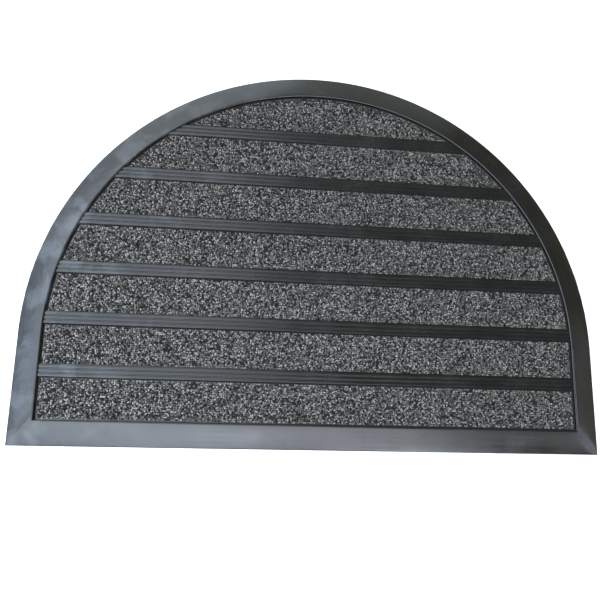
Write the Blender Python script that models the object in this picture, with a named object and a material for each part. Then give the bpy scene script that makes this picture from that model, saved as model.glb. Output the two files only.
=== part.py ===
import math

import bmesh
import bpy

# Half-round doormat, in metres. One rubber moulding has a flat base sheet, a bevelled border and
# six ribbed bars from wall to wall, and a band of short loop carpet lies in each of its seven pockets.
# X runs along the straight front edge, Y from front to the rounded back, Z up from the floor.
# The origin is under the middle of the mat, at floor level.

# Outline of the mat
MAT_WIDTH = 0.600
MAT_DEPTH = 0.410
ROUND_RADIUS = MAT_WIDTH / 2
FRONT_Y = -MAT_DEPTH / 2
ARC_CENTRE_Y = MAT_DEPTH / 2 - ROUND_RADIUS
ARC_STEPS = 72

# Border: a thin outer edge, a slightly bulged ramp up to a narrow flat crest, rounded over to an
# upright inner wall
BORDER_WIDTH = 0.0252
BORDER_HEIGHT = 0.0080
EDGE_HEIGHT = 0.0016
CREST_WIDTH = 0.0012
CREST_ROUND = 0.0015
CREST_ROUND_STEPS = 2
RAMP_BULGE = 0.3
RAMP_STEPS = 4

# Base sheet under the pockets
BASE_THICKNESS = 0.0020

# Bars between the pockets, with three ribs along each
BAR_COUNT = 6
BAR_WIDTH = 0.0134
BAR_PITCH = 0.0526
FIRST_BAR_FROM_FRONT = 0.0657
BAR_SHOULDER_HEIGHT = 0.0056
BAR_RIB_HEIGHT = 0.0064
RIB_COUNT = 3
RIB_PITCH = 0.0043
RIB_ROOT_WIDTH = 0.0034
RIB_TOP_WIDTH = 0.0026
BAR_TUCK = 0.0040
BAR_SINK = 0.0010

# Carpet bands
CARPET_SEAT_GAP = 0.0003
CARPET_TOP = 0.0068
CARPET_WALL_GAP = 0.0016
CARPET_BAR_GAP = 0.0008
CARPET_EDGE_DROP = 0.0010
CARPET_EDGE_INSET = 0.0007
BAND_ARC_STEPS = 12
LAST_BAND_ARC_STEPS = 36

# Edges flatter than this are shaded smooth
SHARP_ANGLE = math.radians(20)


def clear_scene():
    for item in list(bpy.context.scene.objects):
        bpy.data.objects.remove(item, do_unlink=True)


def make_material(name, colour, roughness):
    material = bpy.data.materials.new(name)
    material.use_nodes = True
    shader = material.node_tree.nodes["Principled BSDF"]
    shader.inputs["Base Color"].default_value = (*colour, 1.0)
    shader.inputs["Roughness"].default_value = roughness
    shader.inputs["Metallic"].default_value = 0.0
    return material


def mat_outline(inset):
    """The half-round outline, drawn in by inset, counter-clockwise from the front right corner."""
    radius = ROUND_RADIUS - inset
    points = [(radius, FRONT_Y + inset)]
    for step in range(ARC_STEPS + 1):
        angle = math.pi * step / ARC_STEPS
        points.append((radius * math.cos(angle), ARC_CENTRE_Y + radius * math.sin(angle)))
    points.append((-radius, FRONT_Y + inset))
    return points


def loft_rings(name, rings):
    """A closed body through rings of (outline, height), capped at the first and the last ring."""
    shape = bmesh.new()
    loops = []
    for outline, height in rings:
        loops.append([shape.verts.new((x, y, height)) for x, y in outline])
    for lower, upper in zip(loops, loops[1:]):
        for index in range(len(lower)):
            following = (index + 1) % len(lower)
            shape.faces.new((lower[index], lower[following], upper[following], upper[index]))
    shape.faces.new(list(reversed(loops[0])))
    shape.faces.new(loops[-1])
    return add_object(name, shape)


def add_object(name, shape):
    mesh = bpy.data.meshes.new(name)
    shape.to_mesh(mesh)
    shape.free()
    mesh.shade_smooth()
    mesh.set_sharp_from_angle(angle=SHARP_ANGLE)
    item = bpy.data.objects.new(name, mesh)
    bpy.context.scene.collection.objects.link(item)
    return item


def hide_tool(item):
    """Keep an object as a cutter or an operand only."""
    item.hide_render = True
    item.display_type = "WIRE"


def add_boolean(item, operand, operation):
    modifier = item.modifiers.new(operation.title(), "BOOLEAN")
    modifier.object = operand
    modifier.operation = operation
    modifier.solver = "EXACT"
    hide_tool(operand)


def ramp_height(share):
    """Height of the border's ramp at a share of its width, a little steeper outside than by the crest."""
    rise = share + RAMP_BULGE * share * (1 - share)
    return EDGE_HEIGHT + (BORDER_HEIGHT - EDGE_HEIGHT) * rise


def make_border_and_base():
    rings = [(mat_outline(0.0), 0.0)]
    ramp_width = BORDER_WIDTH - CREST_ROUND - CREST_WIDTH
    for step in range(RAMP_STEPS + 1):
        share = step / RAMP_STEPS
        rings.append((mat_outline(share * ramp_width), ramp_height(share)))
    for step in range(CREST_ROUND_STEPS + 1):
        turn = math.pi / 2 * step / CREST_ROUND_STEPS
        inset = BORDER_WIDTH - CREST_ROUND * (1 - math.sin(turn))
        rings.append((mat_outline(inset), BORDER_HEIGHT - CREST_ROUND * (1 - math.cos(turn))))
    rings.append((mat_outline(BORDER_WIDTH), BASE_THICKNESS))
    return loft_rings("rubber_tray", rings)


def bar_front(index):
    """Y of the front face of a bar, counted from the straight front edge."""
    return FRONT_Y + FIRST_BAR_FROM_FRONT + index * BAR_PITCH


def bar_section():
    """Upright section of a bar as (y, z) points, clockwise seen from +X."""
    sunk = BASE_THICKNESS - BAR_SINK
    points = [(0.0, sunk), (0.0, BAR_SHOULDER_HEIGHT)]
    for rib in range(RIB_COUNT):
        middle = BAR_WIDTH / 2 + (rib - (RIB_COUNT - 1) / 2) * RIB_PITCH
        points.append((middle - RIB_ROOT_WIDTH / 2, BAR_SHOULDER_HEIGHT))
        points.append((middle - RIB_TOP_WIDTH / 2, BAR_RIB_HEIGHT))
        points.append((middle + RIB_TOP_WIDTH / 2, BAR_RIB_HEIGHT))
        points.append((middle + RIB_ROOT_WIDTH / 2, BAR_SHOULDER_HEIGHT))
    points.append((BAR_WIDTH, BAR_SHOULDER_HEIGHT))
    points.append((BAR_WIDTH, sunk))
    return points


def make_bars():
    """All six bars as straight prisms across the mat, still longer than their pockets."""
    shape = bmesh.new()
    half_length = ROUND_RADIUS
    section = bar_section()
    for index in range(BAR_COUNT):
        front = bar_front(index)
        left = [shape.verts.new((-half_length, front + y, z)) for y, z in section]
        right = [shape.verts.new((half_length, front + y, z)) for y, z in section]
        for point in range(len(section)):
            following = (point + 1) % len(section)
            shape.faces.new((left[point], left[following], right[following], right[point]))
        shape.faces.new(list(reversed(left)))
        shape.faces.new(right)
    bmesh.ops.recalc_face_normals(shape, faces=shape.faces)
    return add_object("bars_tool", shape)


def make_bar_trimmer():
    """The half-round prism that ends the bars a little way inside the border's inner wall."""
    outline = mat_outline(BORDER_WIDTH - BAR_TUCK)
    return loft_rings("bar_trimmer_tool", [(outline, 0.0), (outline, BORDER_HEIGHT)])


def make_rubber_tray(material):
    tray = make_border_and_base()
    bars = make_bars()
    add_boolean(bars, make_bar_trimmer(), "INTERSECT")
    add_boolean(tray, bars, "UNION")
    tray.data.materials.append(material)
    return tray


def pocket_limits(index):
    """Lowest and highest Y of a pocket, from the front pocket (0) to the rounded one."""
    low = FRONT_Y + BORDER_WIDTH
    high = ARC_CENTRE_Y + ROUND_RADIUS - BORDER_WIDTH
    if index > 0:
        low = bar_front(index - 1) + BAR_WIDTH
    if index < BAR_COUNT:
        high = bar_front(index)
    return low, high


def side_points(low, high, radius, steps):
    """Right-hand side of a band from low to high: straight beside the arc's centre, round beyond it."""
    points = []
    if low < ARC_CENTRE_Y:
        points.append((radius, low))
    if high <= ARC_CENTRE_Y:
        points.append((radius, high))
        return points
    start = math.asin(max(0.0, (low - ARC_CENTRE_Y) / radius))
    end = math.asin(min(1.0, (high - ARC_CENTRE_Y) / radius))
    for step in range(steps + 1):
        angle = start + (end - start) * step / steps
        points.append((radius * math.cos(angle), ARC_CENTRE_Y + radius * math.sin(angle)))
    return points


def band_outline(index, shrink):
    """Outline of a carpet band inside its pocket, drawn in further by shrink."""
    low, high = pocket_limits(index)
    radius = ROUND_RADIUS - BORDER_WIDTH - CARPET_WALL_GAP - shrink
    low += (CARPET_BAR_GAP if index > 0 else CARPET_WALL_GAP) + shrink
    high -= (CARPET_BAR_GAP if index < BAR_COUNT else CARPET_WALL_GAP) + shrink
    last = index == BAR_COUNT
    right = side_points(low, high, radius, LAST_BAND_ARC_STEPS if last else BAND_ARC_STEPS)
    left = [(-x, y) for x, y in reversed(right)]
    if last:
        left = left[1:]
    return right + left


def make_carpet_band(index, material):
    bottom = BASE_THICKNESS + CARPET_SEAT_GAP
    rings = [
        (band_outline(index, 0.0), bottom),
        (band_outline(index, 0.0), CARPET_TOP - CARPET_EDGE_DROP),
        (band_outline(index, CARPET_EDGE_INSET), CARPET_TOP),
    ]
    band = loft_rings(f"carpet_band_{index + 1}", rings)
    band.data.materials.append(material)
    return band


def main():
    clear_scene()
    rubber = make_material("moulded_rubber", (0.020, 0.021, 0.023), 0.45)
    carpet = make_material("loop_carpet", (0.085, 0.087, 0.090), 0.95)
    make_rubber_tray(rubber)
    for index in range(BAR_COUNT + 1):
        make_carpet_band(index, carpet)


main()
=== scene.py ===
import math

import bmesh
import bpy
import numpy as np
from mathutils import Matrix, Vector


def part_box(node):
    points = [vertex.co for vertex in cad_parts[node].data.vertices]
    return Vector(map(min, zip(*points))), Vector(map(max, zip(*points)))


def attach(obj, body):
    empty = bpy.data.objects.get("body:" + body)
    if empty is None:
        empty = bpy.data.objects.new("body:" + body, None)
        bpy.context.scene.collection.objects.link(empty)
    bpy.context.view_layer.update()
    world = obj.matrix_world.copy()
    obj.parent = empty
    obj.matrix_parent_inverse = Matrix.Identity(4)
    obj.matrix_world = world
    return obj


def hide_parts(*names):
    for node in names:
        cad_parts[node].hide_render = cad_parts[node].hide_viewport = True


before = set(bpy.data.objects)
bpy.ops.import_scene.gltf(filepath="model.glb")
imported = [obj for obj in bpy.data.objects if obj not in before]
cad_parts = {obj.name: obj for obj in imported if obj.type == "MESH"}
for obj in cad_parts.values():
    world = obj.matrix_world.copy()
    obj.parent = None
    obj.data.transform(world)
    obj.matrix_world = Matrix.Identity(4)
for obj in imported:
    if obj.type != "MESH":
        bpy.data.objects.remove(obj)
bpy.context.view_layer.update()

# Half-round doormat on a white studio floor. Metres, +Z up, the straight front edge towards -Y.
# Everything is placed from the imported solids: the tray's box gives the half circle's centre and radius.
trayLow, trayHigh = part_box("rubber_tray")
matRadius = trayHigh.x
arcCentreY = trayHigh.y - matRadius
bandCount = 7
bandNames = ["carpet_band_%d" % number for number in range(1, bandCount + 1)]
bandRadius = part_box(bandNames[0])[1].x
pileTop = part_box(bandNames[0])[1].z
millimetre = 0.001
slack = 1e-5     # metres, for picking faces, edges and points by their place


# small helpers

def srgb(code):
    # "#rrggbb" as the linear colour that shaders want
    parts = [int(code[i:i + 2], 16) / 255 for i in (1, 3, 5)]
    linear = [c / 12.92 if c <= 0.04045 else ((c + 0.055) / 1.055) ** 2.4 for c in parts]
    return (*linear, 1.0)


def deselectAll():
    if bpy.context.object and bpy.context.object.mode != "OBJECT":
        bpy.ops.object.mode_set(mode="OBJECT")
    bpy.ops.object.select_all(action="DESELECT")


def makeActive(piece):
    deselectAll()
    piece.select_set(True)
    bpy.context.view_layer.objects.active = piece


def pickFaces(piece, wanted):
    # in edit mode, selects the faces whose middle and normal pass the test
    bpy.ops.mesh.select_mode(type="FACE")
    bpy.ops.mesh.select_all(action="DESELECT")
    shape = bmesh.from_edit_mesh(piece.data)
    for face in shape.faces:
        if wanted(face.calc_center_median(), face.normal):
            face.select_set(True)
    bmesh.update_edit_mesh(piece.data)


def pickEdges(piece, wanted):
    # the same for edges: the test is given the edge
    bpy.ops.mesh.select_mode(type="EDGE")
    bpy.ops.mesh.select_all(action="DESELECT")
    shape = bmesh.from_edit_mesh(piece.data)
    for edge in shape.edges:
        if wanted(edge):
            edge.select_set(True)
    bmesh.update_edit_mesh(piece.data)


def extrudeBy(x, y, z):
    bpy.ops.mesh.extrude_region_move(TRANSFORM_OT_translate={"value": (x, y, z)})


def pointFacesOut():
    bpy.ops.mesh.select_all(action="SELECT")
    bpy.ops.mesh.normals_make_consistent(inside=False)


def applyModifier(piece, kind, **settings):
    makeActive(piece)
    modifier = piece.modifiers.new(kind.title(), kind)
    for name, value in settings.items():
        setattr(modifier, name, value)
    bpy.ops.object.modifier_apply(modifier=modifier.name)


def placeInMesh(piece):
    makeActive(piece)
    bpy.ops.object.transform_apply(location=True, rotation=True, scale=True)


# materials

def newMaterial(name):
    material = bpy.data.materials.new(name)
    material.use_nodes = True
    material.node_tree.nodes.clear()
    return material


def addNode(material, kind, links=None, values=None, **settings):
    # one node: links is {its input: (node, output)}, values is {its input: number or colour}
    # A Mix node goes by number: 0 is its factor, 2 and 3 its numbers, 6 and 7 its colours
    node = material.node_tree.nodes.new("ShaderNode" + kind)
    for name, value in settings.items():
        setattr(node, name, value)
    for name, value in (values or {}).items():
        node.inputs[name].default_value = value
    for name, (source, output) in (links or {}).items():
        material.node_tree.links.new(source.outputs[output], node.inputs[name])
    return node


def setRamp(node, stops):
    # stops is a list of (place, hex colour)
    ramp = node.color_ramp
    while len(ramp.elements) < len(stops):
        ramp.elements.new(0.5)
    for element, (place, code) in zip(ramp.elements, stops):
        element.position = place
        element.color = srgb(code)


rubberFinish = {
    "colour": "#0e0f10",
    "dusty": "#161718",            # where it was handled and wiped
    "dustyEdges": (0.42, 0.66),    # where in their noise the dusty tone begins and where it is full
    "roughness": (0.18, 0.29),     # clean and dusty
    "roughEdges": (0.38, 0.62),
    "smudge": 38.0,                # mm, patches left by handling and dust
    "streakLength": 70.0,          # mm, faint wiping marks that run along the border
    "streakWidth": 2.6,            # mm
    "streakShare": 0.4,            # share of the wiping marks in what dulls the skin; smudges are the rest
    "grain": 0.5,                  # mm, the mould's spark-eroded grain, drawn coarser than it is, to show
    "grainHeight": 0.06,           # mm
    "wave": 17.0,                  # mm, the slight unevenness of the moulded skin
    "waveHeight": 0.6,             # mm, for the whole range of the noise, of which a quarter is in use
    "film": "#393a3d",             # thin grey patches of dried water and dust
    "patch": 24.0,                 # mm
    "patchEdges": (0.47, 0.64),    # where in its noise a patch begins and where it is full
    "weathered": (-1.0, 0.3, 0.0),     # the way to the left edge, where film and waves show most
    "weatheredFrom": (0.08, 0.26),     # metres along it from the middle: none yet, and in full
    "lint": "#43413e",             # grit and fluff that gather in the gaps round the carpet
    "lintHeights": (0.0046, 0.0055),   # metres, full up to the first, none above the second
}

# borderRun is the tray's UV map, in metres. Its u runs along the border and the bars, and it is this at
# the middle of the rounded border, of the front border, and of the bars and pockets
runMiddle = {"rounded": 0.0, "front": 2 * matRadius, "pockets": 4 * matRadius}


def mixHandledPatches(material, place, run):
    # smudges of handling, and faint wiping marks that run along the border
    smudge = addNode(material, "TexNoise", {"Vector": (place, "Object")},
                     {"Scale": 1 / (rubberFinish["smudge"] * millimetre), "Detail": 4.0, "Roughness": 0.6})
    drawn = addNode(material, "Mapping", {"Vector": (run, "UV")},
                    {"Scale": (1 / (rubberFinish["streakLength"] * millimetre),
                               1 / (rubberFinish["streakWidth"] * millimetre), 1)})
    streak = addNode(material, "TexNoise", {"Vector": (drawn, "Vector")},
                     {"Scale": 1.0, "Detail": 3.0, "Roughness": 0.55})
    return addNode(material, "Mix", {2: (smudge, "Fac"), 3: (streak, "Fac")},
                   {0: rubberFinish["streakShare"]})


def findWeatheredShare(material, place):
    # from 0 in the middle of the mat to 1 by its left edge
    towards = addNode(material, "VectorMath", {0: (place, "Object")}, {1: rubberFinish["weathered"]},
                      operation="DOT_PRODUCT")
    low, high = rubberFinish["weatheredFrom"]
    return addNode(material, "MapRange", {"Value": (towards, "Value")}, {"From Min": low, "From Max": high})


def layFilm(material, place, share, under):
    # patches of dried water and dust over the colour under them, up to the weathered share
    patch = addNode(material, "TexNoise", {"Vector": (place, "Object")},
                    {"Scale": 1 / (rubberFinish["patch"] * millimetre), "Detail": 3.0, "Distortion": 0.4})
    low, high = rubberFinish["patchEdges"]
    settled = addNode(material, "MapRange", {"Value": (patch, "Fac"), "To Max": (share, "Result")},
                      {"From Min": low, "From Max": high, "To Min": 0.0})
    return addNode(material, "Mix", {0: (settled, "Result"), 6: (under, "Color")},
                   {7: srgb(rubberFinish["film"])}, data_type="RGBA")


def layLint(material, place, run, under):
    # grit low down in the pockets, whose faces have the highest run
    spot = addNode(material, "SeparateXYZ", {"Vector": (place, "Object")})
    along = addNode(material, "SeparateXYZ", {"Vector": (run, "UV")})
    inPocket = addNode(material, "Math", {0: (along, "X")}, {1: runMiddle["pockets"] - matRadius},
                       operation="GREATER_THAN")
    low, high = rubberFinish["lintHeights"]
    lint = addNode(material, "MapRange", {"Value": (spot, "Z"), "To Min": (inPocket, "Value")},
                   {"From Min": low, "From Max": high, "To Max": 0.0})
    return addNode(material, "Mix", {0: (lint, "Result"), 6: (under, 2)},
                   {7: srgb(rubberFinish["lint"])}, data_type="RGBA")


def raiseRubberSkin(material, place, share):
    # the moulded skin's waves, which grow with the weathered share, with the mould's grain on them
    wave = addNode(material, "TexNoise", {"Vector": (place, "Object")},
                   {"Scale": 1 / (rubberFinish["wave"] * millimetre), "Detail": 2.0})
    height = addNode(material, "Math", {0: (wave, "Fac"), 1: (share, "Result")}, operation="MULTIPLY")
    uneven = addNode(material, "Bump", {"Height": (height, "Value")},
                     {"Strength": 1.0, "Distance": rubberFinish["waveHeight"] * millimetre})
    grain = addNode(material, "TexNoise", {"Vector": (place, "Object")},
                    {"Scale": 1 / (rubberFinish["grain"] * millimetre), "Detail": 2.0})
    return addNode(material, "Bump", {"Height": (grain, "Fac"), "Normal": (uneven, "Normal")},
                   {"Strength": 0.15, "Distance": rubberFinish["grainHeight"] * millimetre})


def makeMouldedRubber():
    # Black rubber compound pressed in a spark-eroded mould: a dark satin skin whose broad, soft
    # highlight greys it on the lit side, with duller patches and faint marks where it was wiped.
    material = newMaterial("moulded black rubber")
    place = addNode(material, "TexCoord")
    run = addNode(material, "UVMap", uv_map="borderRun")
    patches = mixHandledPatches(material, place, run)
    share = findWeatheredShare(material, place)
    clean = addNode(material, "ValToRGB", {"Fac": (patches, 0)})
    setRamp(clean, list(zip(rubberFinish["dustyEdges"], (rubberFinish["colour"], rubberFinish["dusty"]))))
    filmed = layFilm(material, place, share, clean)
    colour = layLint(material, place, run, filmed)
    low, high = rubberFinish["roughEdges"]
    smooth, dull = rubberFinish["roughness"]
    rough = addNode(material, "MapRange", {"Value": (patches, 0)},
                    {"From Min": low, "From Max": high, "To Min": smooth, "To Max": dull})
    skin = raiseRubberSkin(material, place, share)
    shader = addNode(material, "BsdfPrincipled",
                     {"Base Color": (colour, 2), "Roughness": (rough, "Result"), "Normal": (skin, "Normal")},
                     {"IOR": 1.52})
    addNode(material, "OutputMaterial", {"Surface": (shader, "BSDF")})
    return material


loopFinish = {
    "tones": [(0.0, "#0b0b0b"), (0.34, "#4b4946"), (0.67, "#696663"), (1.0, "#938f8b")],
    "fibre": 0.35,         # mm, the bundles of filament that show along a yarn
    "fibreHeight": 0.2,    # mm
    "fibreShare": 0.3,     # how much of the tones' range the bundles run through
    "paintedShadeDepth": 1.3,      # mm, how far below the tips the pile is darkened by painted shade
    "paintedShadeTone": 0.5,       # and how much of its colour the painted shade leaves there
    "paintedLightFall": (-0.55, -0.43, 0.0),   # painted light fall-off: lighter to the front left, by this share for each metre
}


def makeLoopYarn():
    # Bulked polypropylene yarn in loops, solution dyed from black to light grey: matt, a little
    # fuzzy at grazing light, each loop in its own shade, with painted shade darkening it towards its root
    # and a painted light fall-off that leaves it lighter to the front left.
    material = newMaterial("bulked polypropylene loops")
    place = addNode(material, "TexCoord")
    shade = addNode(material, "Attribute", attribute_name="loopShade")
    fibre = addNode(material, "TexNoise", {"Vector": (place, "Object")},
                    {"Scale": 1 / (loopFinish["fibre"] * millimetre), "Detail": 3.0, "Roughness": 0.7})
    mottle = addNode(material, "Math", {0: (fibre, "Fac"), 2: (shade, "Fac")},
                     {1: loopFinish["fibreShare"]}, operation="MULTIPLY_ADD")
    centred = addNode(material, "Math", {0: (mottle, "Value")}, {1: loopFinish["fibreShare"] / 2},
                      operation="SUBTRACT")
    colour = addNode(material, "ValToRGB", {"Fac": (centred, "Value")})
    setRamp(colour, loopFinish["tones"])
    height = addNode(material, "SeparateXYZ", {"Vector": (place, "Object")})
    # painted shade: the pile is darkened towards its roots, where the loops shade each other
    depth = addNode(material, "MapRange", {"Value": (height, "Z")},
                    {"From Min": pileTop - loopFinish["paintedShadeDepth"] * millimetre, "From Max": pileTop,
                     "To Min": loopFinish["paintedShadeTone"], "To Max": 1.0})
    # painted light: a fall-off that leaves the pile lighter to the front left, darker to the back right
    paintedLightFall = addNode(material, "VectorMath", {0: (place, "Object")}, {1: loopFinish["paintedLightFall"]},
                   operation="DOT_PRODUCT")
    paintedShadeAndLight = addNode(material, "Math", {0: (paintedLightFall, "Value"), 1: (depth, "Result"), 2: (depth, "Result")},
                   operation="MULTIPLY_ADD")
    shaded = addNode(material, "Mix", {6: (colour, "Color"), 7: (paintedShadeAndLight, "Value")}, {0: 1.0},
                     data_type="RGBA", blend_type="MULTIPLY")
    bump = addNode(material, "Bump", {"Height": (fibre, "Fac")},
                   {"Strength": 0.6, "Distance": loopFinish["fibreHeight"] * millimetre})
    shader = addNode(material, "BsdfPrincipled",
                     {"Base Color": (shaded, 2), "Normal": (bump, "Normal")},
                     {"Roughness": 0.85, "IOR": 1.49, "Specular IOR Level": 0.18,
                      "Sheen Weight": 0.07, "Sheen Roughness": 0.5})
    addNode(material, "OutputMaterial", {"Surface": (shader, "BSDF")})
    return material


bedPaintedShadeAndWeave = {
    # painted shade: the bed is near black for the shade that falls on it down among the loops
    "dark": "#181716",
    "light": "#32312f",
    "weave": 1.1,          # mm
    "weaveHeight": 0.4,    # mm
}


def makeCarpetBed():
    # The imported lower pile and woven polypropylene backing: matt, coloured near black as painted shade for
    # the pits among the loops.
    material = newMaterial("packed pile on woven backing")
    place = addNode(material, "TexCoord")
    lumps = addNode(material, "TexNoise", {"Vector": (place, "Object")},
                    {"Scale": 1 / (bedPaintedShadeAndWeave["weave"] * millimetre), "Detail": 3.0, "Roughness": 0.65})
    colour = addNode(material, "ValToRGB", {"Fac": (lumps, "Fac")})
    setRamp(colour, [(0.35, bedPaintedShadeAndWeave["dark"]), (0.7, bedPaintedShadeAndWeave["light"])])
    bump = addNode(material, "Bump", {"Height": (lumps, "Fac")},
                   {"Strength": 0.8, "Distance": bedPaintedShadeAndWeave["weaveHeight"] * millimetre})
    shader = addNode(material, "BsdfPrincipled",
                     {"Base Color": (colour, "Color"), "Normal": (bump, "Normal")},
                     {"Roughness": 0.95, "IOR": 1.49, "Specular IOR Level": 0.2})
    addNode(material, "OutputMaterial", {"Surface": (shader, "BSDF")})
    return material


floorFinish = {
    "tones": [(0.3, "#f4f4f4"), (0.7, "#f8f8f8")],
    "mottle": 333.0,       # mm, the roller's passes
}


def makeFloorPaint():
    # White painted studio floor, dead matt, with a trace of roller texture.
    material = newMaterial("matt white floor paint")
    place = addNode(material, "TexCoord")
    mottle = addNode(material, "TexNoise", {"Vector": (place, "Object")},
                     {"Scale": 1 / (floorFinish["mottle"] * millimetre), "Detail": 2.0})
    colour = addNode(material, "ValToRGB", {"Fac": (mottle, "Fac")})
    setRamp(colour, floorFinish["tones"])
    shader = addNode(material, "BsdfPrincipled", {"Base Color": (colour, "Color")},
                     {"Roughness": 0.9, "IOR": 1.45, "Specular IOR Level": 0.2})
    addNode(material, "OutputMaterial", {"Surface": (shader, "BSDF")})
    return material


# the moulded rubber tray

tray = {
    "borderWidth": 0.0252,
    "edgeHeight": 0.0016,      # the thin outer edge
    "crestWidth": 0.0005,      # the flat top, and the lean of the wall below it
    "crestRound": 0.0015,      # from the flat top over to the inner wall
    "rampBulge": 0.3,          # 0 is a plain slope; this is steeper outside, flatter by the crest
    "rampSteps": 8,
    "firstStep": 0.0009,       # narrow strips that keep the turns at the outer edge and
    "lastStep": 0.0005,        # into the crest tight
    "wallDraft": 0.0003,       # lean of the inner wall, for the mould
    "floorHeight": 0.0020,     # top of the base sheet in the pockets
    "halfCircleSteps": 120,
    "softEdge": 0.0004,        # rounding of the outer edges
    "hipRound": 0.009,         # how far the two front corners' hips are softened to each side,
    "hipSpread": 1.6,          # and at most this many times their distance in from the outer edge
}

rampWidth = tray["borderWidth"] - tray["crestRound"] - tray["crestWidth"]

bar = {
    "count": 6,
    "width": 0.0134,
    "pitch": 0.0526,
    "firstFromFront": 0.0657,
    "shoulder": 0.0056,        # height between and beside the ribs
    "ribRise": 0.0008,
    "ribPitch": 0.0043,
    "ribRoot": 0.0034,
    "ribTopShare": 0.76,       # the ribs' top width as a share of their root
    "ribCount": 3,
    "tuck": 0.0040,            # how far the ends run in under the border's crest
    "frontDrop": 0.0007,       # the front shoulder falls away from the first rib by this much
    "softEdge": 0.00007,       # rounding of the shoulders and ribs
}


def insetOf(place):
    # how far in from the mat's outline a place is
    if place.y > arcCentreY:
        return matRadius - math.hypot(place.x, place.y - arcCentreY)
    return min(matRadius - abs(place.x), place.y - trayLow.y)


def isUpright(edge):
    one, other = (v.co for v in edge.verts)
    return math.hypot(one.x - other.x, one.y - other.y) < slack


def addHalfRound(name, inset):
    # a disc cut along its middle, its straight side then drawn out to the front edge; it stays in edit
    # mode with its one face selected
    radius = matRadius - inset
    deselectAll()
    bpy.ops.mesh.primitive_circle_add(vertices=2 * tray["halfCircleSteps"], radius=radius,
                                      fill_type="NGON", location=(0, arcCentreY, 0))
    piece = bpy.context.active_object
    piece.name = piece.data.name = name
    placeInMesh(piece)
    bpy.ops.object.mode_set(mode="EDIT")
    bpy.ops.mesh.select_all(action="SELECT")
    bpy.ops.mesh.bisect(plane_co=(0, arcCentreY, 0), plane_no=(0, 1, 0), clear_inner=True)
    pickEdges(piece, lambda edge: all(abs(v.co.y - arcCentreY) < slack for v in edge.verts))
    extrudeBy(0, trayLow.y + inset - arcCentreY, 0)
    pickEdges(piece, lambda edge: len(edge.link_faces) == 2)
    bpy.ops.mesh.dissolve_edges(use_verts=False)
    bpy.ops.mesh.select_mode(type="FACE")
    pointFacesOut()
    return piece


def rampHeight(inset):
    # height of the sloping border at a distance in from the outline
    share = min(max(inset / rampWidth, 0.0), 1.0)
    rise = share + tray["rampBulge"] * share * (1 - share)
    return tray["edgeHeight"] + (trayHigh.z - tray["edgeHeight"]) * rise


def makeBorderAndBase():
    piece = addHalfRound("mouldedTray", 0)
    extrudeBy(0, 0, tray["edgeHeight"])
    pickFaces(piece, lambda middle, normal: middle.z > tray["edgeHeight"] - slack)
    insets = [rampWidth * step / tray["rampSteps"] for step in range(1, tray["rampSteps"])]
    insets = [0.0, tray["firstStep"], *insets, rampWidth - tray["lastStep"], rampWidth]
    for was, now in zip(insets, insets[1:]):
        bpy.ops.mesh.inset(thickness=now - was, depth=rampHeight(now) - rampHeight(was),
                           use_even_offset=True)
    crest = tray["borderWidth"] - tray["wallDraft"] - rampWidth
    bpy.ops.mesh.inset(thickness=crest, depth=0)
    bpy.ops.mesh.inset(thickness=tray["wallDraft"], depth=tray["floorHeight"] - trayHigh.z)
    pointFacesOut()
    roundHips(piece)

    def isWallTop(edge):
        wallTop = rampWidth + crest
        return all(v.co.z > trayHigh.z - slack and insetOf(v.co) > wallTop - slack for v in edge.verts)

    def isOuterEdge(edge):
        return not isUpright(edge) and all(v.co.z < tray["edgeHeight"] + slack and insetOf(v.co) < slack
                                           for v in edge.verts)

    pickEdges(piece, isWallTop)
    bpy.ops.mesh.bevel(offset=tray["crestRound"], segments=6)
    pickEdges(piece, isOuterEdge)
    bpy.ops.mesh.bevel(offset=tray["softEdge"], segments=2)
    bpy.ops.object.mode_set(mode="OBJECT")
    return piece


def roundHips(piece):
    # the hips at the two front corners are soft: the slopes are sliced there and blend into each other
    soft = tray["hipRound"]
    step = rampWidth / tray["rampSteps"]
    slices = int((rampWidth + soft + step) / step)

    def fromEdges(spot):
        return matRadius - abs(spot.x), spot.y - trayLow.y

    def isSlope(middle, normal):
        # the border's sloping faces, which lean a little, unlike the crest's flat top
        return 0.9 < normal.z < 0.9999 and min(fromEdges(middle)) < rampWidth

    for corner in (-1, 1):
        for number in range(1, slices + 1):
            pickFaces(piece, isSlope)
            bpy.ops.mesh.bisect(plane_co=(corner * (matRadius - number * step), 0, 0), plane_no=(1, 0, 0))
    for number in range(1, slices + 1):
        pickFaces(piece, isSlope)
        bpy.ops.mesh.bisect(plane_co=(0, trayLow.y + number * step, 0), plane_no=(0, 1, 0))
    shape = bmesh.from_edit_mesh(piece.data)
    for vert in shape.verts:
        side, front = fromEdges(vert.co)
        near = min(side, front)
        blend = min(soft, tray["hipSpread"] * near)
        overlap = blend - abs(side - front)
        if vert.co.z > tray["edgeHeight"] + slack and near < rampWidth + slack and overlap > 0:
            # a smooth minimum of the two slopes' distances, rounded over the blend's width
            vert.co.z = rampHeight(near - overlap ** 2 / (4 * blend))
    bmesh.update_edit_mesh(piece.data)


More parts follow.
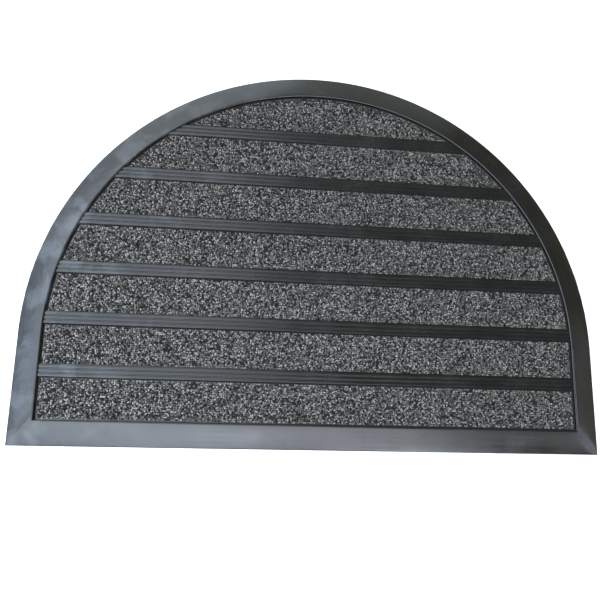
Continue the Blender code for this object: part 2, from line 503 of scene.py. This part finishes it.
def makeBar():
    # one bar, along X through the middle: a long block, sliced lengthways, its rib strips drawn up
    length = 2 * matRadius
    sunk = tray["floorHeight"] / 2      # its underside is inside the base sheet
    deselectAll()
    bpy.ops.mesh.primitive_cube_add(size=1, location=(0, 0, (bar["shoulder"] + sunk) / 2),
                                    scale=(length, bar["width"], bar["shoulder"] - sunk))
    piece = bpy.context.active_object
    placeInMesh(piece)
    bpy.ops.object.mode_set(mode="EDIT")
    middles = [(rib - (bar["ribCount"] - 1) / 2) * bar["ribPitch"] for rib in range(bar["ribCount"])]
    for middle in middles:
        for side in (-1, 1):
            bpy.ops.mesh.select_all(action="SELECT")
            bpy.ops.mesh.bisect(plane_co=(0, middle + side * bar["ribRoot"] / 2, 0), plane_no=(0, 1, 0))
    for middle in middles:
        pickFaces(piece, lambda spot, normal: normal.z > 0.9 and abs(spot.y - middle) < slack)
        extrudeBy(0, 0, bar["ribRise"])
        shape = bmesh.from_edit_mesh(piece.data)
        for vert in shape.verts:
            if vert.select:
                vert.co.y = middle + (vert.co.y - middle) * bar["ribTopShare"]
        bmesh.update_edit_mesh(piece.data)

    def isFrontShoulder(edge):
        return all(v.co.y < slack - bar["width"] / 2 and v.co.z > bar["shoulder"] - slack
                   for v in edge.verts)

    pickEdges(piece, isFrontShoulder)
    bpy.ops.transform.translate(value=(0, 0, -bar["frontDrop"]))
    applyModifier(piece, "BEVEL", width=bar["softEdge"], segments=2, limit_method="ANGLE",
                  angle_limit=math.radians(25))
    return piece


def makeBars():
    first = makeBar()
    copies = [first]
    while len(copies) < bar["count"]:
        copy = first.copy()
        copy.data = first.data.copy()
        bpy.context.scene.collection.objects.link(copy)
        copies.append(copy)
    for index, piece in enumerate(copies):
        piece.location.y = trayLow.y + bar["firstFromFront"] + bar["width"] / 2 + index * bar["pitch"]
    deselectAll()
    for piece in copies:
        piece.select_set(True)
    bpy.context.view_layer.objects.active = first
    bpy.ops.object.join()
    placeInMesh(first)
    trimmer = addHalfRound("barTrimmer", tray["borderWidth"] - bar["tuck"])
    extrudeBy(0, 0, 2 * bar["shoulder"])
    pointFacesOut()
    bpy.ops.object.mode_set(mode="OBJECT")
    applyModifier(first, "BOOLEAN", object=trimmer, operation="INTERSECT", solver="EXACT")
    bpy.data.objects.remove(trimmer)
    return first


def layBorderRun(piece):
    # u along the border or the bar, v across it
    mesh = piece.data
    layer = mesh.uv_layers.new(name="borderRun")
    quarter = matRadius * math.pi / 2
    for face in mesh.polygons:
        middle = face.center
        inside = insetOf(middle)
        for corner in face.loop_indices:
            spot = mesh.vertices[mesh.loops[corner].vertex_index].co
            if inside > tray["borderWidth"] - tray["wallDraft"]:
                run = (runMiddle["pockets"] + spot.x, spot.y)
            elif middle.y > arcCentreY:
                angle = math.atan2(spot.x, spot.y - arcCentreY)
                run = (runMiddle["rounded"] + angle * matRadius,
                       matRadius - math.hypot(spot.x, spot.y - arcCentreY))
            elif middle.y - trayLow.y < matRadius - abs(middle.x):
                run = (runMiddle["front"] + spot.x, spot.y - trayLow.y)
            else:
                run = (runMiddle["rounded"] + math.copysign(quarter + arcCentreY - spot.y, middle.x),
                       matRadius - abs(spot.x))
            layer.data[corner].uv = run


def makeTray(material):
    piece = makeBorderAndBase()
    bars = makeBars()
    applyModifier(piece, "BOOLEAN", object=bars, operation="UNION", solver="EXACT")
    bpy.data.objects.remove(bars)
    makeActive(piece)
    bpy.ops.object.shade_smooth_by_angle(angle=math.radians(35))
    layBorderRun(piece)
    piece.data.materials.clear()
    piece.data.materials.append(material)
    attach(piece, "root")
    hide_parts("rubber_tray")
    print("tray:", len(piece.data.polygons), "faces")


# the carpet bands

band = {
    "bedTop": 0.0054,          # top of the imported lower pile
    "softEdge": 0.0005,        # rounding of its cut edges
    "footDepth": 0.0001,       # how deep the loops' feet stand in it
    "edgeSteps": 24,           # along each round side
}

loop = {
    "pitchX": 0.0021,          # loop to loop along a row
    "pitchY": 0.0021,          # row to row
    "reach": 0.00070,          # half the loop's span, middle of yarn to middle of yarn
    "yarn": 0.00080,           # half the yarn's thickness
    "sides": 4,
    "bends": 3,                # straight stretches round the arch
    "jitter": 0.30,            # of the pitch, how far a loop strays
    "lean": 0.35,              # sideways lean, as a share of height
    "sizes": (0.82, 1.18),
    "heights": (0.80, 1.18),
    "edgeRoom": 0.0003,        # from the band's cut edge to the outermost loops' feet
    "backRoom": 0.0005,        # the same at its back edge
    "wallRoom": 0.0007,        # and beside the border's wall, where the dark gap shows
    "rowRoom": 0.9,            # of the pitch, from those outermost loops to the ends of the rows
    "bulge": 0.0003,           # how far a loop may stand out past the cut edge behind a bar,
    "frontBulge": 0.0009,      # at the straight front edge,
    "backBulge": 0.0001,       # at the band's back edge,
    "wallBulge": -0.0004,      # and beside the wall, where it stays inside
    "overTop": 0.0004,         # how far a tall loop may stand above the band's top
    "edgeHeights": 0.62,       # the outermost loops are flattened to this share of the others' height
    "edgeFall": 0.0042,        # and rise to full height this far in
    "blend": [0.17, 0.25, 0.41, 0.17],     # share of loops in each tone, black to light grey
    "shadeSpread": 0.06,       # how far a loop strays from its tone
    "cellMargin": 0.06,        # of a loop's cell in the bake map, left free on each side
    "seed": 20,
}


def halfWidthAt(y, inset):
    # half the width of the carpet's outline at a given y
    radius = bandRadius - inset
    if y <= arcCentreY:
        return radius
    return math.sqrt(max(0.0, radius ** 2 - (y - arcCentreY) ** 2))


def bandOutline(low, high, inset):
    # right side from front to back, then the left side back again
    steps = band["edgeSteps"]
    start, end = low.y + inset, high.y - inset
    radius = bandRadius - inset
    right = []
    if start < arcCentreY:
        right.append((radius, start))
    if end > arcCentreY:
        first = math.asin(max(0.0, (start - arcCentreY) / radius))
        last = math.asin(min(1.0, (end - arcCentreY) / radius))
        angles = [first + (last - first) * step / steps for step in range(steps + 1)]
        right += [(radius * math.cos(a), arcCentreY + radius * math.sin(a)) for a in angles]
    else:
        right.append((radius, end))
    return right + [(-x, y) for x, y in reversed(right) if x > slack]


def makeBed(name, low, high, material):
    outline = bandOutline(low, high, 0.0)
    mesh = bpy.data.meshes.new(name)
    mesh.from_pydata([(x, y, low.z) for x, y in outline], [], [list(range(len(outline)))])
    piece = bpy.data.objects.new(name, mesh)
    bpy.context.scene.collection.objects.link(piece)
    makeActive(piece)
    bpy.ops.object.mode_set(mode="EDIT")
    bpy.ops.mesh.select_all(action="SELECT")
    extrudeBy(0, 0, band["bedTop"] - low.z)
    pointFacesOut()
    applyModifier(piece, "BEVEL", width=band["softEdge"], segments=2, limit_method="ANGLE",
                  angle_limit=math.radians(60))
    piece.data.materials.append(material)
    return piece


def makeLoopPattern():
    # one loop, modelled once: the upper half of a small ring of yarn, closed at its two feet
    deselectAll()
    bpy.ops.mesh.primitive_torus_add(major_segments=2 * loop["bends"], minor_segments=loop["sides"],
                                     major_radius=loop["reach"], minor_radius=loop["yarn"],
                                     rotation=(math.pi / 2, 0, 0))
    piece = bpy.context.active_object
    placeInMesh(piece)
    bpy.ops.object.mode_set(mode="EDIT")
    pickFaces(piece, lambda middle, normal: middle.z < 0)
    bpy.ops.mesh.delete(type="FACE")
    bpy.ops.mesh.select_all(action="SELECT")
    bpy.ops.mesh.fill_holes(sides=loop["sides"])
    pointFacesOut()
    bpy.ops.object.mode_set(mode="OBJECT")
    mesh = piece.data
    points = np.array([v.co for v in mesh.vertices])
    faces = [list(face.vertices) for face in mesh.polygons]
    flat = np.array([corner.uv for corner in mesh.uv_layers.active.data])
    flat = (flat - flat.min(0)) / (flat.max(0) - flat.min(0))
    bpy.data.objects.remove(piece)
    return points, faces, flat


def loopPlaces(low, high, random):
    # feet of the loops: one run of them round the cut edge, and staggered rows inside it
    room, pitchX, pitchY = loop["edgeRoom"], loop["pitchX"], loop["pitchY"]
    edge = bandOutline(low, high, room)
    places = []
    for (x1, y1), (x2, y2) in zip(edge, edge[1:] + edge[:1]):
        steps = max(1, round(math.hypot(x2 - x1, y2 - y1) / pitchX))
        share = np.arange(steps)[:, None] / steps
        places.append((1 - share) * [x1, y1] + share * [x2, y2])
    start, end = low.y + room + pitchY, high.y - room - pitchY
    rows = round((end - start) / pitchY) + 1
    for row, y in enumerate(np.linspace(start, end, rows)):
        half = halfWidthAt(y, loop["wallRoom"] + loop["rowRoom"] * pitchX)
        count = max(2, round(2 * half / pitchX) + row % 2)
        places.append(np.stack([np.linspace(-half, half, count), np.full(count, y)], 1))
    places = np.concatenate(places)
    stray = loop["jitter"] * np.array([pitchX, pitchY])
    places += random.uniform(-1, 1, places.shape) * stray
    return keepInside(places, low, high, -room, -loop["backRoom"], -loop["wallRoom"])


def keepInside(points, low, high, front, back, wall):
    # draws points back to the band's outline, grown by so much at its front, at its back and by the wall
    x, y = points[..., 0], points[..., 1].clip(low.y - front, high.y + back)
    radius = bandRadius + wall
    rise = (y - arcCentreY).clip(0)
    drawnIn = radius / np.maximum(np.hypot(x, rise), radius)
    return np.stack([x * drawnIn, y - rise * (1 - drawnIn)], -1)


def edgeDistance(points, low, high):
    # how far in from the band's cut edge the points are; the way to its back edge counts double
    x, y = points[..., 0], points[..., 1]
    side = bandRadius - np.hypot(x, (y - arcCentreY).clip(0))
    return np.minimum(np.minimum(y - low.y, 2 * (high.y - y)), side)


def shapeLoops(points, places, low, high, front, random):
    # all of a band's loops, each turned, sized, leant and set on its place
    count = len(places)
    turn = random.uniform(0, math.pi, count)
    size = random.uniform(*loop["sizes"], count)
    tall = random.uniform(*loop["heights"], count)
    tall *= np.interp(edgeDistance(places, low, high), [0, loop["edgeFall"]], [loop["edgeHeights"], 1])
    lean = random.uniform(-loop["lean"], loop["lean"], (count, 2))
    cos, sin = np.cos(turn)[:, None], np.sin(turn)[:, None]
    x, y, z = (points[:, axis][None, :] for axis in range(3))
    foot = band["bedTop"] - band["footDepth"]
    upright = z / points[:, 2].max() * ((high.z - foot) * tall)[:, None]
    wide = size[:, None]
    loops = np.stack([
        (x * cos - y * sin) * wide + lean[:, :1] * upright + places[:, :1],
        (x * sin + y * cos) * wide + lean[:, 1:] * upright + places[:, 1:],
        np.minimum(foot + upright, high.z + loop["overTop"]),
    ], 2)
    loops[:, :, :2] = keepInside(loops, low, high, front, loop["backBulge"], loop["wallBulge"])
    return loops


def layBakeMap(mesh, count, flat):
    # the bake map is a square grid with one cell for each loop
    side = math.ceil(math.sqrt(count))
    cell = np.stack([np.arange(count) % side, np.arange(count) // side], 1)[:, None, :]
    margin = loop["cellMargin"]
    spread = (cell + margin + (1 - 2 * margin) * flat[None, :, :]) / side
    mesh.uv_layers.new(name="OFBake").data.foreach_set("uv", spread.astype(np.float32).ravel())


def makePile(number, low, high, pattern, material, random):
    # one mesh with all the loops of a band, and a shade for each loop
    name = "carpetPile_%d" % number
    points, faces, flat = pattern
    places = loopPlaces(low, high, random)
    count = len(places)
    front = loop["frontBulge"] if number == 1 else loop["bulge"]
    loops = shapeLoops(points, places, low, high, front, random)
    tones = len(loop["blend"])
    shade = random.choice(tones, count, p=loop["blend"]) / (tones - 1)
    shade += random.normal(0, loop["shadeSpread"], count)
    each = len(points)
    allFaces = [[corner + each * place for corner in face] for place in range(count) for face in faces]
    mesh = bpy.data.meshes.new(name)
    mesh.from_pydata(loops.reshape(-1, 3), [], allFaces)
    attribute = mesh.attributes.new("loopShade", "FLOAT", "POINT")
    attribute.data.foreach_set("value", np.repeat(shade, each).astype(np.float32))
    layBakeMap(mesh, count, flat)
    mesh.shade_smooth()
    mesh.materials.append(material)
    piece = bpy.data.objects.new(name, mesh)
    bpy.context.scene.collection.objects.link(piece)
    return piece, count


def outlineArea(outline):
    return abs(sum(x1 * y2 - x2 * y1 for (x1, y1), (x2, y2)
                   in zip(outline, outline[1:] + outline[:1]))) / 2


def makeCarpets(yarn, bedMaterial):
    pattern = makeLoopPattern()
    random = np.random.default_rng(loop["seed"])
    total = 0
    for number, node in enumerate(bandNames, 1):
        low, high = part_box(node)
        bed = makeBed("carpetBed_%d" % number, low, high, bedMaterial)
        pile, count = makePile(number, low, high, pattern, yarn, random)
        total += count
        for piece in (bed, pile):
            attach(piece, "root")
            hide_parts(node)
        outlineArea(bandOutline(low, high, 0.0))
    print("carpet loops:", total)


# floor, light and camera

studio = {
    "floorSize": 60.0,             # metres
    "air": ("#fffbc9", 0.238),     # colour and strength of the even light from all round
    "backdrop": ("#ffffff", 1.6),  # the same of what the camera sees beyond the floor, not reflected
    "panels": [
        # name, degrees from overhead towards +X and +Y, degrees across, strength, linear colour
        ("frontPanel", -2, -25, 44, 1.30, (0.94, 0.93, 1.00)),
        ("frontPanelRight", 10, -34, 26, 0.45, (0.75, 0.83, 1.00)),
        ("frontGlint", 23, -46, 10, 0.32, (0.88, 0.92, 1.00)),
        ("cornerPanel", -36, -20, 24, 0.25, (0.95, 0.94, 1.00)),
        ("cornerGlint", 36, -30, 14, 0.06, (0.94, 0.97, 1.00)),
        ("ceilingPanel", -23, 15, 50, 1.78, (0.78, 0.89, 1.00)),
        ("leftGlint", -51, -3, 16, 0.35, (0.69, 0.79, 1.00)),
        ("backWindow", -60, 69, 68, 1.94, (0.73, 0.85, 1.00)),
        ("backWindowEdge", -14, 71, 70, 0.62, (0.90, 1.00, 0.94)),
        ("rightWindow", 53, -28, 30, 0.57, (0.77, 0.82, 1.00)),
        ("rightGlint", 60, 0, 24, 0.05, (1.00, 0.92, 0.92)),
    ],
    "softboxes": [
        # name, place, width and height, watts, linear colour; they are so near that their light
        # falls off along the mat
        ("frontSoftbox", (-0.40, -0.50, 0.60), (0.8, 0.5), 5.4, (0.64, 0.80, 1.00)),
        ("leftSoftbox", (-0.75, 0.10, 0.60), (0.6, 0.8), 2.7, (0.58, 0.75, 1.00)),
    ],
}


def addLamp(name, kind, towards, strength, colour):
    # a lamp that shines on the middle of the mat from where towards points
    light = bpy.data.lights.new(name, kind)
    light.energy = strength
    light.color = colour
    lamp = bpy.data.objects.new(name, light)
    bpy.context.scene.collection.objects.link(lamp)
    lamp.rotation_euler = towards.to_track_quat("Z", "Y").to_euler()
    return lamp


def makeStudio():
    deselectAll()
    bpy.ops.mesh.primitive_plane_add(size=studio["floorSize"], location=(0, 0, 0))
    floor = bpy.context.active_object
    floor.name = "studioFloor"
    floor.data.materials.append(makeFloorPaint())
    for name, towardsX, towardsY, across, strength, colour in studio["panels"]:
        towards = Vector((math.tan(math.radians(towardsX)), math.tan(math.radians(towardsY)), 1))
        lamp = addLamp(name, "SUN", towards, strength, colour)
        lamp.data.angle = math.radians(across)
    for name, place, (width, height), strength, colour in studio["softboxes"]:
        lamp = addLamp(name, "AREA", Vector(place), strength, colour)
        lamp.location = place
        lamp.data.shape = "RECTANGLE"
        lamp.data.size = width
        lamp.data.size_y = height
        lamp.visible_camera = False
    makeAir()


def makeAir():
    world = bpy.data.worlds.new("studioAir")
    bpy.context.scene.world = world
    world.use_nodes = True
    world.node_tree.nodes.clear()
    air, backdrop = (addNode(world, "Background", values={"Color": srgb(colour), "Strength": strength})
                     for colour, strength in (studio["air"], studio["backdrop"]))
    path = addNode(world, "LightPath")
    seen = addNode(world, "MixShader", {0: (path, "Is Camera Ray"), 1: (air, 0), 2: (backdrop, 0)})
    addNode(world, "OutputWorld", {"Surface": (seen, 0)})
    bpy.context.scene.view_settings.view_transform = "Standard"


photoView = {
    "place": (-0.0765, -0.1689, 0.6021),   # metres
    "tipForward": 10.904,      # degrees from straight down
    "tipRight": -5.719,
    "turn": 1.235,
    "lens": 35.0,              # mm
    "sensorWidth": 36.0,       # mm
}


def makeCamera():
    data = bpy.data.cameras.new("photoCamera")
    data.lens = photoView["lens"]
    data.sensor_width = photoView["sensorWidth"]
    camera = bpy.data.objects.new("photoCamera", data)
    bpy.context.scene.collection.objects.link(camera)
    camera.location = photoView["place"]
    camera.rotation_euler = [math.radians(photoView[k]) for k in ("tipForward", "tipRight", "turn")]
    bpy.context.scene.camera = camera


makeTray(makeMouldedRubber())
makeCarpets(makeLoopYarn(), makeCarpetBed())
makeStudio()
makeCamera()
print("studio and camera ready")
